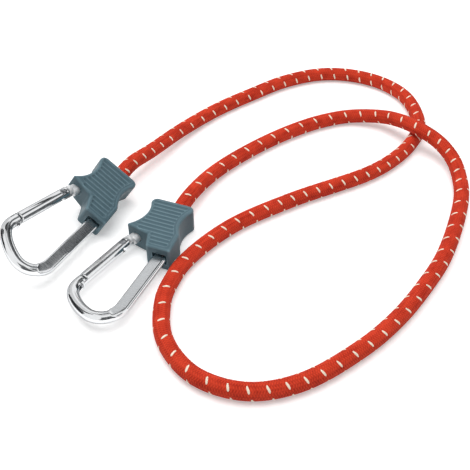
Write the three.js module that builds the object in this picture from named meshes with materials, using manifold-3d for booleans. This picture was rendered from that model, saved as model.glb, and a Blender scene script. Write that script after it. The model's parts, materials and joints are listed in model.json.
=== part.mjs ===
// Bungee cord: one braided elastic cord with a moulded grip and a sprung-gate carabiner at each end.
// Millimetres, +Z up, lying on z = 0. The origin is under the waist of grip b, on the face that it rests on,
// and +X runs from that grip to the tip of its carabiner.
import * as THREE from "three";
import { mergeVertices } from "three/addons/utils/BufferGeometryUtils.js";
import Module from "manifold-3d";

const wasm = await Module();
wasm.setup();

// Clearances
const FIT_GAP = 0.3;
const SEAM_GAP = 0.2;
const BIG = 200;

// Cord: a braided sheath round a rubber core
const CORD_DIAMETER = 8;
const SHEATH_WALL = 0.9;
const CORD_SIDES = 10;
const CORD_STEPS = 76;
const CORD_LEAD = 14;

// Grip, in the hook's frame: x forward from the rear face, y towards the carabiner's spine, and z through
// the thickness
const GRIP_LENGTH = 34.9;
const GRIP_THICKNESS = 14;
const GRIP_CHAMFER = 0.8;
const GRIP_EAR_RADIUS = 2.6;
const GATE_WAIST_X = 11.3;
const GATE_WAIST_HALF = 9.95;
const GATE_WAIST_RADIUS = 15.5;
const GATE_SHOULDER = 16;
const SPINE_WAIST_X = 12;
const SPINE_WAIST_HALF = 9.4;
const SPINE_WAIST_RADIUS = 17.5;
const STEP_HALF = 2.9;
const SPOUT_WIDTH = 12.8;
const OUTLINE_ARC_STEPS = 7;

// Ribs moulded on both faces of the grip, as lands between grooves
const RIB_PITCH = 2.6;
const RIB_START = 2.9;
const RIB_FRONT_MARGIN = 5;
const RIB_MARGIN = 2;
const GROOVE_WIDTH = 1;
const GROOVE_DEPTH = 0.5;

// What the grip holds: the cord's crimped end, and pegs that locate one shell on the other
const CORD_SIDE_OFFSET = 1.3;
const REAR_WALL = 3;
const FERRULE_LENGTH = 10;
const FERRULE_WALL = 0.9;
const CRIMP_DEPTH = 0.4;
const CRIMP_WIDTH = 1.6;
const CRIMP_COUNT = 2;
const PEG_RADIUS = 1.1;
const PEG_LENGTH = 2;
const PEGS = [[6, -7.5], [15.7, 4], [25.6, -0.6]];
const SPOUT_POCKET_DEPTH = 3;
const SPOUT_POCKET_MARGIN = 0.9;
const NECK_POCKET_RADIUS = 3.3;
const NECK_POCKET_DEPTH = 1.2;

// Carabiner: one bent bar, pressed flat along its spine
const BAR_DIAMETER = 5.7;
const BAR_SIDES = 12;
const SPINE_OFFSET = 6.5;
const SPINE_WIDTH = 6.8;
const SPINE_THICKNESS = 4.2;
const SPINE_EDGE = 1;
const SPINE_FLAT_START = 36;
const SPINE_FLAT_END = 66;
const GATE_ANGLE = THREE.MathUtils.degToRad(13.5);
const HINGE_X = 33;
const HINGE_OFFSET = 13.9;
const NOSE_STRAIGHT = 31.9;
const NOSE_CORNER_RADIUS = 9;
const NOSE_CORNER_HEADING = THREE.MathUtils.degToRad(45);
const BASE_RADIUS = 28;
const SPINE_CORNER_RADIUS = 10.5;
const TAIL_X = 20;
const TAIL_DIAMETER = 4;
const TAIL_SPINE_RADIUS = 6.5;
const TAIL_GATE_RADIUS = 5.5;

// Hinge: a flat tongue on the bar's end, between the cheeks of the slotted gate
const GATE_DIAMETER = 5.5;
const GATE_SIDES = 16;
const COLLAR_FACE = 4.1;
const COLLAR_LENGTH = 1.6;
const TONGUE_THICKNESS = 2;
const TONGUE_RADIUS = 2.2;
const CAM_OFFSET = 0.9;
const GATE_OVERHANG = 3.5;
const GATE_HEEL_RADIUS = 3.7;
const RIVET_RADIUS = 0.95;
const RIVET_HEAD_RADIUS = 1.35;
const RIVET_HEAD_HEIGHT = 0.5;
const RIVET_SIDES = 12;

// Latch: a T-head on the gate in a T-slot through the nose
const GATE_REACH = 28.4;
const LATCH_GAP = 0.6;
const LIP_LENGTH = 1.5;
const LATCH_HEAD_LENGTH = 1.5;
const LATCH_NECK_THICKNESS = 2;
const LATCH_HEAD_THICKNESS = 3.9;

// Closing spring and its plunger, in a bore along the gate
const BORE_RADIUS = 1.5;
const BORE_END = 22;
const PLUNGER_RADIUS = 1.2;
const PLUNGER_LENGTH = 5;
const SPRING_WIRE = 0.42;
const SPRING_RADIUS = 1;
const SPRING_TURNS = 9;
const TURN_STEPS = 8;
const WIRE_SIDES = 5;

// Where the hooks lie: b flat on its grip, a rolled onto the spine side of its grip
const HOOK_B_REAR_X = -12;
const HOOK_A_REAR_X = -21.9;
const HOOK_SPACING = 39.4;
const HOOK_A_YAW = THREE.MathUtils.degToRad(-3.5);
const HOOK_A_ROLL = THREE.MathUtils.degToRad(33.7);

// The cord's free run from hook a to hook b: a long bend at the back, under its own crossing, round the front
// in a wide loop and back over the crossing.
const ROUTE = [
  [-54, -34.5, 8.8], [-84, -28.6, 5.6], [-113.5, -18.3, 4], [-137.5, -4.6, 4], [-160.5, 10.5, 4],
  [-177, 29, 4], [-183.3, 48, 4], [-181.7, 68.5, 4], [-172.4, 85.4, 4], [-157.9, 96, 4],
  [-139, 102.5, 4], [-121, 101.2, 4], [-103.5, 95.7, 4], [-85.4, 85.7, 4], [-46.3, 51.8, 4],
  [-14.6, 29.6, 4], [17, 18.4, 4], [32, 17.6, 4], [44.6, 19.3, 4], [65.9, 29.9, 4],
  [79.5, 50.2, 4], [79.4, 73.7, 4], [66.8, 93.9, 4], [38.4, 114.1, 4], [15.8, 124.6, 4],
  [-7.6, 131.7, 4], [-34.7, 137.1, 4], [-80.5, 137.6, 4], [-97.2, 134, 4.8], [-111, 127.3, 7.2],
  [-119.6, 117.3, 10.6], [-126, 104, 12.5], [-132, 93.2, 11.2], [-138, 80.5, 7.6], [-136, 60.7, 4.4],
  [-124.1, 45, 4], [-107.3, 31.3, 4], [-87.7, 19.2, 4], [-64.7, 8.6, 4.4], [-47, 3.4, 5.2],
];

// Derived sizes
const CORE_DIAMETER = CORD_DIAMETER - 2 * (SHEATH_WALL + FIT_GAP);
const HALF_GRIP = GRIP_THICKNESS / 2;
const BAR_RADIUS = BAR_DIAMETER / 2;
const GATE_RADIUS = GATE_DIAMETER / 2;
const SPOUT_OUTER = SPINE_OFFSET + SPOUT_WIDTH / 2;
const SPOUT_INNER = SPINE_OFFSET - SPOUT_WIDTH / 2;
const FERRULE_BORE = CORD_DIAMETER / 2 + FIT_GAP;
const FERRULE_RADIUS = FERRULE_BORE + FERRULE_WALL;
const FERRULE_START = REAR_WALL + FIT_GAP;
const SHOULDER_RISE = GATE_WAIST_HALF + GATE_WAIST_RADIUS - GATE_SHOULDER;
const SHOULDER_X = GATE_WAIST_X + Math.sqrt(GATE_WAIST_RADIUS ** 2 - SHOULDER_RISE ** 2);
const SHOULDER_FACE = (HINGE_X - SHOULDER_X) * Math.cos(GATE_ANGLE)
  + (HINGE_OFFSET - GATE_SHOULDER) * Math.sin(GATE_ANGLE);
const SLOT_HALF = TONGUE_THICKNESS / 2 + FIT_GAP;
const CAM_FRONT = TONGUE_RADIUS;
const CAM_SWING = CAM_OFFSET;
const SLOT_END = CAM_FRONT + CAM_SWING;
const RIVET_HOLE = RIVET_RADIUS + SEAM_GAP;
const NOSE_FACE = GATE_REACH + LATCH_GAP;
const LIP_END = NOSE_FACE + LIP_LENGTH;
const LATCH_HEAD_START = LIP_END + FIT_GAP;
const LATCH_HEAD_END = LATCH_HEAD_START + LATCH_HEAD_LENGTH;
const PLUNGER_START = CAM_FRONT + FIT_GAP;
const PLUNGER_END = PLUNGER_START + PLUNGER_LENGTH;
const SPRING_START = PLUNGER_END + SPRING_WIRE / 2 + FIT_GAP;
const SPRING_END = BORE_END - SPRING_WIRE / 2 - FIT_GAP;

// Solids: a closed geometry becomes a solid for joins and cuts, and comes back as a geometry
function solid(geometry) {
  const bare = geometry.clone();
  bare.deleteAttribute("normal");
  bare.deleteAttribute("uv");
  const merged = mergeVertices(bare, 1e-5);
  return new wasm.Manifold(new wasm.Mesh({
    numProp: 3,
    vertProperties: new Float32Array(merged.attributes.position.array),
    triVerts: new Uint32Array(merged.index.array),
  }));
}

function geometryOf(manifold) {
  const mesh = manifold.getMesh();
  const geometry = new THREE.BufferGeometry();
  geometry.setAttribute("position", new THREE.BufferAttribute(mesh.vertProperties, 3));
  geometry.setIndex(new THREE.BufferAttribute(mesh.triVerts, 1));
  geometry.computeVertexNormals();
  return geometry;
}

function boxBetween(low, high) {
  const size = new THREE.Vector3(...high).sub(new THREE.Vector3(...low));
  const box = new THREE.BoxGeometry(size.x, size.y, size.z);
  return box.translate(low[0] + size.x / 2, low[1] + size.y / 2, low[2] + size.z / 2);
}

function rodAlongX(radius, from, to, y = 0, sides = GATE_SIDES) {
  const rod = new THREE.CylinderGeometry(radius, radius, to - from, sides);
  rod.rotateZ(-Math.PI / 2);
  return rod.translate((from + to) / 2, y, 0);
}

function rodAlongZ(radius, from, to, x = 0, y = 0, sides = GATE_SIDES) {
  const rod = new THREE.CylinderGeometry(radius, radius, to - from, sides);
  rod.rotateX(Math.PI / 2);
  return rod.translate(x, y, (from + to) / 2);
}

// A path through given stations, with a section at each of them
class StationPath extends THREE.Curve {
  constructor(stations) {
    super();
    this.stations = stations;
  }

  getUtoTmapping(u) {
    return u;
  }

  getPoint(t, target = new THREE.Vector3()) {
    const place = t * (this.stations.length - 1);
    const index = Math.min(Math.floor(place), this.stations.length - 2);
    return target.lerpVectors(this.stations[index], this.stations[index + 1], place - index);
  }
}

function circle(radius, sides) {
  const corners = [];
  for (let side = 0; side < sides; side += 1) {
    const turn = (2 * Math.PI * side) / sides;
    corners.push(new THREE.Vector2(radius * Math.cos(turn), radius * Math.sin(turn)));
  }
  return corners;
}

function sweep(stations, radius, sides, boreRadius = 0) {
  const section = new THREE.Shape(circle(radius, sides));
  if (boreRadius > 0) {
    section.holes.push(new THREE.Path(circle(boreRadius, sides)));
  }
  return new THREE.ExtrudeGeometry(section, {
    steps: stations.length - 1,
    bevelEnabled: false,
    extrudePath: new StationPath(stations),
  });
}

// Stations of an arc that turns left from one heading to another, from a start point in the hook's plane
function turnLeft(start, radius, fromHeading, toHeading, steps) {
  const centre = [start.x - radius * Math.sin(fromHeading), start.y + radius * Math.cos(fromHeading)];
  const stations = [];
  for (let step = 1; step <= steps; step += 1) {
    const heading = fromHeading + ((toHeading - fromHeading) * step) / steps;
    stations.push(new THREE.Vector3(
      centre[0] + radius * Math.sin(heading),
      centre[1] - radius * Math.cos(heading),
      0,
    ));
  }
  return stations;
}

// The gate's own frame: x from the hinge pin to the latch, y towards the spine
const gateFrame = new THREE.Matrix4()
  .makeTranslation(HINGE_X, -HINGE_OFFSET, 0)
  .multiply(new THREE.Matrix4().makeRotationZ(-GATE_ANGLE));

function onGate(distance) {
  return new THREE.Vector3(distance, 0, 0).applyMatrix4(gateFrame);
}

function atGate(geometry) {
  return solid(geometry.clone().applyMatrix4(gateFrame));
}

function arc(centre, radius, from, to) {
  const points = [];
  for (let step = 0; step <= OUTLINE_ARC_STEPS; step += 1) {
    const turn = from + ((to - from) * step) / OUTLINE_ARC_STEPS;
    points.push(new THREE.Vector2(centre.x + radius * Math.cos(turn), centre.y + radius * Math.sin(turn)));
  }
  return points;
}

// The grip's outline: rounded ears, a concave waist on each side, a shoulder square to the gate, and a spout
function gripOutline() {
  const gateCentre = new THREE.Vector2(GATE_WAIST_X, -GATE_WAIST_HALF - GATE_WAIST_RADIUS);
  const spineCentre = new THREE.Vector2(SPINE_WAIST_X, SPINE_WAIST_HALF + SPINE_WAIST_RADIUS);
  const earRise = (waistX, radius) => {
    const along = waistX - GRIP_EAR_RADIUS;
    return Math.sqrt((radius + GRIP_EAR_RADIUS) ** 2 - along ** 2);
  };
  const gateEarY = gateCentre.y + earRise(GATE_WAIST_X, GATE_WAIST_RADIUS);
  const spineEarY = spineCentre.y - earRise(SPINE_WAIST_X, SPINE_WAIST_RADIUS);
  const gateEar = new THREE.Vector2(GRIP_EAR_RADIUS, gateEarY);
  const spineEar = new THREE.Vector2(GRIP_EAR_RADIUS, spineEarY);
  const gateTouch = gateEar.clone().sub(gateCentre).angle();
  const spineTouch = spineEar.clone().sub(spineCentre).angle();
  const shoulderTurn = Math.asin((-GATE_SHOULDER - gateCentre.y) / GATE_WAIST_RADIUS);
  const stepX = SHOULDER_X + (GATE_SHOULDER - STEP_HALF) * Math.tan(GATE_ANGLE);
  const spoutTurn = -Math.asin((spineCentre.y - SPOUT_OUTER) / SPINE_WAIST_RADIUS);

  return new THREE.Shape([
    ...arc(gateEar, GRIP_EAR_RADIUS, Math.PI, gateTouch + Math.PI),
    ...arc(gateCentre, GATE_WAIST_RADIUS, gateTouch, shoulderTurn).slice(1),
    new THREE.Vector2(stepX, -STEP_HALF),
    new THREE.Vector2(GRIP_LENGTH, SPOUT_INNER),
    new THREE.Vector2(GRIP_LENGTH, SPOUT_OUTER),
    ...arc(spineCentre, SPINE_WAIST_RADIUS, spoutTurn, spineTouch - 2 * Math.PI),
    ...arc(spineEar, GRIP_EAR_RADIUS, spineTouch - Math.PI, Math.PI).slice(1),
  ]);
}

// The outline's lowest and highest side at a distance from the rear face
function sidesAt(outline, x) {
  const points = outline.getPoints();
  const crossings = [];
  points.forEach((point, index) => {
    const next = points[(index + 1) % points.length];
    if (point.x <= x !== next.x <= x) {
      crossings.push(THREE.MathUtils.mapLinear(x, point.x, next.x, point.y, next.y));
    }
  });
  return [Math.min(...crossings), Math.max(...crossings)];
}

// The outline raised between two heights, chamfered at both faces
function raised(outline, low, high, chamfer) {
  const block = new THREE.ExtrudeGeometry(outline, {
    depth: high - low - 2 * chamfer,
    bevelEnabled: true,
    bevelThickness: chamfer,
    bevelSize: chamfer,
    bevelOffset: -chamfer,
    bevelSegments: 1,
  });
  return solid(block.translate(0, 0, low + chamfer));
}

// The carabiner's bar, drawn thicker by a margin where it is used to cut its own seat
function barSolid(margin) {
  const gateHeading = -GATE_ANGLE;
  const noseEnd = onGate(NOSE_FACE);
  const noseCorner = onGate(NOSE_STRAIGHT);
  const rise = SPINE_OFFSET - noseCorner.y
    - NOSE_CORNER_RADIUS * (Math.cos(gateHeading) - Math.cos(NOSE_CORNER_HEADING))
    - BASE_RADIUS * Math.cos(NOSE_CORNER_HEADING) - SPINE_CORNER_RADIUS;
  const spineCornerHeading = Math.acos(rise / (SPINE_CORNER_RADIUS - BASE_RADIUS));

  const main = [noseEnd, noseCorner];
  main.push(...turnLeft(main.at(-1), NOSE_CORNER_RADIUS, gateHeading, NOSE_CORNER_HEADING, 5));
  main.push(...turnLeft(main.at(-1), BASE_RADIUS, NOSE_CORNER_HEADING, spineCornerHeading, 4));
  main.push(...turnLeft(main.at(-1), SPINE_CORNER_RADIUS, spineCornerHeading, Math.PI, 8));
  main.push(new THREE.Vector3(TAIL_X + TAIL_SPINE_RADIUS, SPINE_OFFSET, 0));
  main.push(...turnLeft(main.at(-1), TAIL_SPINE_RADIUS, Math.PI, 1.5 * Math.PI, 6));
  const tailStart = main.at(-1);

  const backFromGate = HINGE_X - TAIL_X - TAIL_GATE_RADIUS;
  const tailCornerY = -HINGE_OFFSET
    + (TAIL_GATE_RADIUS + backFromGate * Math.sin(GATE_ANGLE)) / Math.cos(GATE_ANGLE);
  const tail = [tailStart.clone().add(new THREE.Vector3(0, BAR_RADIUS / 2, 0))];
  tail.push(new THREE.Vector3(TAIL_X, tailCornerY, 0));
  tail.push(...turnLeft(tail.at(-1), TAIL_GATE_RADIUS, 1.5 * Math.PI, 2 * Math.PI + gateHeading, 5));
  tail.push(onGate(-COLLAR_FACE - COLLAR_LENGTH / 2));

  const flat = new THREE.Shape();
  const halfWidth = SPINE_WIDTH / 2 + margin;
  const halfThickness = SPINE_THICKNESS / 2 + margin;
  flat.moveTo(halfWidth - SPINE_EDGE, -halfThickness);
  flat.lineTo(halfWidth, SPINE_EDGE - halfThickness);
  flat.lineTo(halfWidth, halfThickness - SPINE_EDGE);
  flat.lineTo(halfWidth - SPINE_EDGE, halfThickness);
  flat.lineTo(SPINE_EDGE - halfWidth, halfThickness);
  flat.lineTo(-halfWidth, halfThickness - SPINE_EDGE);
  flat.lineTo(-halfWidth, SPINE_EDGE - halfThickness);
  flat.lineTo(SPINE_EDGE - halfWidth, -halfThickness);
  const flatLength = SPINE_FLAT_END - SPINE_FLAT_START;
  const slab = new THREE.ExtrudeGeometry(flat, { depth: flatLength, bevelEnabled: false });
  slab.rotateX(Math.PI / 2).rotateZ(Math.PI / 2).translate(SPINE_FLAT_START, SPINE_OFFSET, 0);
  const pressed = (side) => solid(boxBetween(
    [SPINE_FLAT_START, SPINE_OFFSET - SPINE_WIDTH, side > 0 ? halfThickness : -BIG],
    [SPINE_FLAT_END, SPINE_OFFSET + SPINE_WIDTH, side > 0 ? BIG : -halfThickness],
  ));
  const collar = rodAlongX(GATE_RADIUS + margin, -COLLAR_FACE - COLLAR_LENGTH, -COLLAR_FACE);
  return solid(sweep(main, BAR_RADIUS + margin, BAR_SIDES))
    .subtract(pressed(1))
    .subtract(pressed(-1))
    .add(solid(slab))
    .add(solid(sweep(tail, TAIL_DIAMETER / 2 + margin, BAR_SIDES)))
    .add(atGate(collar));
}

// The bar with its hinge tongue and the T-slot through its nose
function carabinerBody() {
  const half = TONGUE_THICKNESS / 2;
  const plate = boxBetween(
    [-COLLAR_FACE - FIT_GAP, -TONGUE_RADIUS, -half],
    [0, TONGUE_RADIUS + CAM_OFFSET, half],
  );
  const neckSlot = boxBetween(
    [NOSE_FACE - BAR_RADIUS, -BAR_DIAMETER, -LATCH_NECK_THICKNESS / 2 - FIT_GAP],
    [LIP_END + FIT_GAP, BAR_DIAMETER, LATCH_NECK_THICKNESS / 2 + FIT_GAP],
  );
  const headSlot = boxBetween(
    [LIP_END, -BAR_DIAMETER, -LATCH_HEAD_THICKNESS / 2 - FIT_GAP],
    [LATCH_HEAD_END + FIT_GAP, BAR_DIAMETER, LATCH_HEAD_THICKNESS / 2 + FIT_GAP],
  );
  return barSolid(0)
    .add(atGate(plate))
    .add(atGate(rodAlongZ(TONGUE_RADIUS, -half, half)))
    .add(atGate(rodAlongZ(TONGUE_RADIUS, -half, half, 0, CAM_OFFSET)))
    .subtract(atGate(rodAlongZ(RIVET_HOLE, -BIG, BIG, 0, 0, RIVET_SIDES)))
    .subtract(atGate(neckSlot))
    .subtract(atGate(headSlot));
}

// The gate: slotted heel, bore for the spring, and the T-head that the nose holds
function gateSolid() {
  const neck = boxBetween(
    [GATE_REACH - FIT_GAP, -GATE_RADIUS, -LATCH_NECK_THICKNESS / 2],
    [LATCH_HEAD_START + FIT_GAP, GATE_RADIUS, LATCH_NECK_THICKNESS / 2],
  );
  const head = boxBetween(
    [LATCH_HEAD_START, -GATE_RADIUS, -LATCH_HEAD_THICKNESS / 2],
    [LATCH_HEAD_END, GATE_RADIUS, LATCH_HEAD_THICKNESS / 2],
  );
  const latch = solid(neck).add(solid(head))
    .intersect(solid(rodAlongX(GATE_RADIUS, 0, LATCH_HEAD_END + FIT_GAP)));
  const slot = boxBetween([-BIG, -GATE_DIAMETER, -SLOT_HALF], [SLOT_END, GATE_DIAMETER, SLOT_HALF]);
  const heelCorner = solid(boxBetween([-BIG, 0, -GATE_DIAMETER], [0, GATE_DIAMETER, GATE_DIAMETER]))
    .subtract(solid(rodAlongZ(GATE_HEEL_RADIUS, -BIG, BIG)));
  const headSeat = GATE_RADIUS - RIVET_HEAD_HEIGHT - FIT_GAP;
  return solid(rodAlongX(GATE_RADIUS, -GATE_OVERHANG, GATE_REACH))
    .add(latch)
    .subtract(solid(slot))
    .subtract(heelCorner)
    .subtract(solid(rodAlongX(BORE_RADIUS, 0, BORE_END, 0, RIVET_SIDES)))
    .subtract(solid(rodAlongZ(RIVET_HOLE, -BIG, BIG, 0, 0, RIVET_SIDES)))
    .subtract(solid(rodAlongZ(RIVET_HEAD_RADIUS + SEAM_GAP, headSeat, BIG, 0, 0, RIVET_SIDES)))
    .subtract(solid(rodAlongZ(RIVET_HEAD_RADIUS + SEAM_GAP, -BIG, -headSeat, 0, 0, RIVET_SIDES)));
}

function rivetGeometry() {
  const top = GATE_RADIUS;
  const under = top - RIVET_HEAD_HEIGHT;
  const profile = [
    [0, -top], [RIVET_HEAD_RADIUS, -top], [RIVET_HEAD_RADIUS, -under], [RIVET_RADIUS, -under],
    [RIVET_RADIUS, under], [RIVET_HEAD_RADIUS, under], [RIVET_HEAD_RADIUS, top], [0, top],
  ].map(([radius, height]) => new THREE.Vector2(radius, height));
  return new THREE.LatheGeometry(profile, RIVET_SIDES).rotateX(Math.PI / 2);
}

function springStations() {
  const stations = [];
  const steps = SPRING_TURNS * TURN_STEPS;
  for (let step = 0; step <= steps; step += 1) {
    const turn = (2 * Math.PI * step) / TURN_STEPS;
    const along = SPRING_START + ((SPRING_END - SPRING_START) * step) / steps;
    stations.push(new THREE.Vector3(along, SPRING_RADIUS * Math.cos(turn), SPRING_RADIUS * Math.sin(turn)));
  }
  return stations;
}

// The least distance between stations more than half a turn apart, less the wire
function leastSelfGap(stations, wire, apart) {
  let least = Infinity;
  stations.forEach((station, index) => {
    stations.slice(index + apart).forEach((other) => {
      least = Math.min(least, station.distanceTo(other) - wire);
    });
  });
  return least;
}

// The crimped ferrule on the cord's end, wider than the bore in the grip's rear wall
function ferruleGeometry() {
  const end = FERRULE_START + FERRULE_LENGTH;
  const profile = [[FERRULE_BORE, FERRULE_START], [FERRULE_RADIUS, FERRULE_START]];
  for (let crimp = 1; crimp <= CRIMP_COUNT; crimp += 1) {
    const middle = FERRULE_START + (FERRULE_LENGTH * crimp) / (CRIMP_COUNT + 1);
    profile.push([FERRULE_RADIUS, middle - CRIMP_WIDTH / 2]);
    profile.push([FERRULE_RADIUS - CRIMP_DEPTH, middle]);
    profile.push([FERRULE_RADIUS, middle + CRIMP_WIDTH / 2]);
  }
  profile.push([FERRULE_RADIUS, end], [FERRULE_BORE, end], [FERRULE_BORE, FERRULE_START]);
  const points = profile.map(([radius, along]) => new THREE.Vector2(radius, along));
  const ring = new THREE.LatheGeometry(points, GATE_SIDES);
  return ring.rotateZ(-Math.PI / 2).translate(0, CORD_SIDE_OFFSET, 0);
}

// The whole grip with its seats cut, before it is parted at the seam
function gripSolid() {
  const outline = gripOutline();
  let grip = raised(outline, -HALF_GRIP, HALF_GRIP, GRIP_CHAMFER);
  const grooveHalf = GROOVE_WIDTH / 2;
  for (let x = RIB_START; x <= GRIP_LENGTH - RIB_FRONT_MARGIN; x += RIB_PITCH) {
    const back = sidesAt(outline, x - grooveHalf);
    const front = sidesAt(outline, x + grooveHalf);
    const low = Math.max(back[0], front[0]) + RIB_MARGIN;
    const high = Math.min(back[1], front[1]) - RIB_MARGIN;
    const floor = HALF_GRIP - GROOVE_DEPTH;
    grip = grip
      .subtract(solid(boxBetween([x - grooveHalf, low, floor], [x + grooveHalf, high, BIG])))
      .subtract(solid(boxBetween([x - grooveHalf, low, -BIG], [x + grooveHalf, high, -floor])));
  }
  const spoutHalf = SPINE_WIDTH / 2 + SPOUT_POCKET_MARGIN;
  const spoutPocket = boxBetween(
    [GRIP_LENGTH - SPOUT_POCKET_DEPTH, SPINE_OFFSET - spoutHalf, -spoutHalf],
    [GRIP_LENGTH + BIG, SPINE_OFFSET + spoutHalf, spoutHalf],
  );
  const neckPocket = rodAlongX(NECK_POCKET_RADIUS, -SHOULDER_FACE - NECK_POCKET_DEPTH, -COLLAR_FACE);
  const ferruleEnd = FERRULE_START + FERRULE_LENGTH + FIT_GAP;
  return grip
    .subtract(barSolid(FIT_GAP))
    .subtract(solid(spoutPocket))
    .subtract(atGate(neckPocket))
    .subtract(solid(rodAlongX(CORD_DIAMETER / 2 + FIT_GAP * 1.5, -BIG, FERRULE_START, CORD_SIDE_OFFSET)))
    .subtract(solid(rodAlongX(FERRULE_RADIUS + FIT_GAP, REAR_WALL, ferruleEnd, CORD_SIDE_OFFSET)));
}

function gripShells() {
  const grip = gripSolid();
  let upper = grip.intersect(solid(boxBetween([-BIG, -BIG, SEAM_GAP / 2], [BIG, BIG, BIG])));
  let lower = grip.intersect(solid(boxBetween([-BIG, -BIG, -BIG], [BIG, BIG, -SEAM_GAP / 2])));
  for (const [x, y] of PEGS) {
    const peg = rodAlongZ(PEG_RADIUS, -PEG_LENGTH, PEG_LENGTH, x, y, RIVET_SIDES);
    const pegHole = rodAlongZ(PEG_RADIUS + SEAM_GAP, -PEG_LENGTH - FIT_GAP, BIG, x, y, RIVET_SIDES);
    upper = upper.add(solid(peg));
    lower = lower.subtract(solid(pegHole));
  }
  return { upper: geometryOf(upper), lower: geometryOf(lower) };
}

// Materials
const FINISHES = {
  grip: { color: "#546e78", roughness: 0.5, metalness: 0 },
  polished: { color: "#d4d6d8", roughness: 0.15, metalness: 1 },
  steel: { color: "#a9adb0", roughness: 0.35, metalness: 1 },
  spring: { color: "#8b8f93", roughness: 0.4, metalness: 1 },
  crimp: { color: "#9da2a6", roughness: 0.45, metalness: 1 },
  sheath: { color: "#d03022", roughness: 0.8, metalness: 0 },
  rubber: { color: "#d8cdb8", roughness: 0.9, metalness: 0 },
};

function piece(name, geometry, finish) {
  const mesh = new THREE.Mesh(geometry, new THREE.MeshStandardMaterial(FINISHES[finish]));
  mesh.name = name;
  return mesh;
}

const springPath = springStations();
const coilGap = leastSelfGap(springPath, SPRING_WIRE, TURN_STEPS / 2 + 1);
console.log(`gate spring: least gap to itself ${coilGap.toFixed(2)} mm`);

const shells = gripShells();
const bodyGeometry = geometryOf(carabinerBody());
const gateGeometry = geometryOf(gateSolid());
const plungerGeometry = rodAlongX(PLUNGER_RADIUS, PLUNGER_START, PLUNGER_END, 0, RIVET_SIDES);
const springGeometry = sweep(springPath, SPRING_WIRE / 2, WIRE_SIDES);

// One hook: the grip's two shells, the cord's ferrule, the carabiner, and the gate with what is in it
function hook(end) {
  const group = new THREE.Group();
  const gate = new THREE.Group();
  gate.position.set(HINGE_X, -HINGE_OFFSET, 0);
  gate.rotation.z = -GATE_ANGLE;
  gate.add(
    piece(`gate_${end}`, gateGeometry, "polished"),
    piece(`hinge_rivet_${end}`, rivetGeometry(), "steel"),
    piece(`spring_plunger_${end}`, plungerGeometry, "steel"),
    piece(`gate_spring_${end}`, springGeometry, "spring"),
  );
  group.add(
    piece(`grip_upper_shell_${end}`, shells.upper, "grip"),
    piece(`grip_lower_shell_${end}`, shells.lower, "grip"),
    piece(`cord_ferrule_${end}`, ferruleGeometry(), "crimp"),
    piece(`carabiner_body_${end}`, bodyGeometry, "polished"),
    gate,
  );
  return group;
}

const hookB = hook("b");
hookB.position.set(HOOK_B_REAR_X, 0, HALF_GRIP);

// Hook a stands on the chamfered lower edge of its spout side
const edgeDrop = (y, z) => y * Math.sin(HOOK_A_ROLL) + z * Math.cos(HOOK_A_ROLL);
const hookA = hook("a");
hookA.position.set(HOOK_A_REAR_X, -HOOK_SPACING, Math.max(
  edgeDrop(SPOUT_OUTER, HALF_GRIP - GRIP_CHAMFER),
  edgeDrop(SPOUT_OUTER - GRIP_CHAMFER, HALF_GRIP),
));
hookA.rotation.set(-HOOK_A_ROLL, 0, HOOK_A_YAW, "ZYX");

// The cord: straight inside each grip and for a short lead behind it, then along its free run
function cordStations() {
  const onAxis = (group, x) => {
    group.updateMatrixWorld(true);
    return new THREE.Vector3(x, CORD_SIDE_OFFSET, 0).applyMatrix4(group.matrixWorld);
  };
  const depth = FERRULE_START + FERRULE_LENGTH - FIT_GAP;
  const free = [
    onAxis(hookA, 0), onAxis(hookA, -CORD_LEAD),
    ...ROUTE.map((point) => new THREE.Vector3(...point)),
    onAxis(hookB, -CORD_LEAD), onAxis(hookB, 0),
  ];
  const run = new THREE.CatmullRomCurve3(free, false, "centripetal").getSpacedPoints(CORD_STEPS);
  return [onAxis(hookA, depth), ...run, onAxis(hookB, depth)];
}

const cordPath = cordStations();
const spans = cordPath.slice(1).map((point, index) => point.distanceTo(cordPath[index]));
const cordLength = spans.reduce((sum, span) => sum + span, 0);
console.log(`cord: ${cordLength.toFixed(0)} mm long, end to end`);
const sheath = sweep(cordPath, CORD_DIAMETER / 2, CORD_SIDES, CORD_DIAMETER / 2 - SHEATH_WALL);
const core = sweep(cordPath, CORE_DIAMETER / 2, CORD_SIDES);

const bungee = new THREE.Group();
bungee.name = "bungee_cord";
bungee.add(hookA, hookB, piece("cord_sheath", sheath, "sheath"), piece("rubber_core", core, "rubber"));

export default bungee;
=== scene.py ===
"""A braided bungee cord with a ribbed grip and a sprung-gate carabiner at each end, lying in a loose loop."""
import json
import math

import bmesh
import bpy
from mathutils import Matrix, Vector


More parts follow.
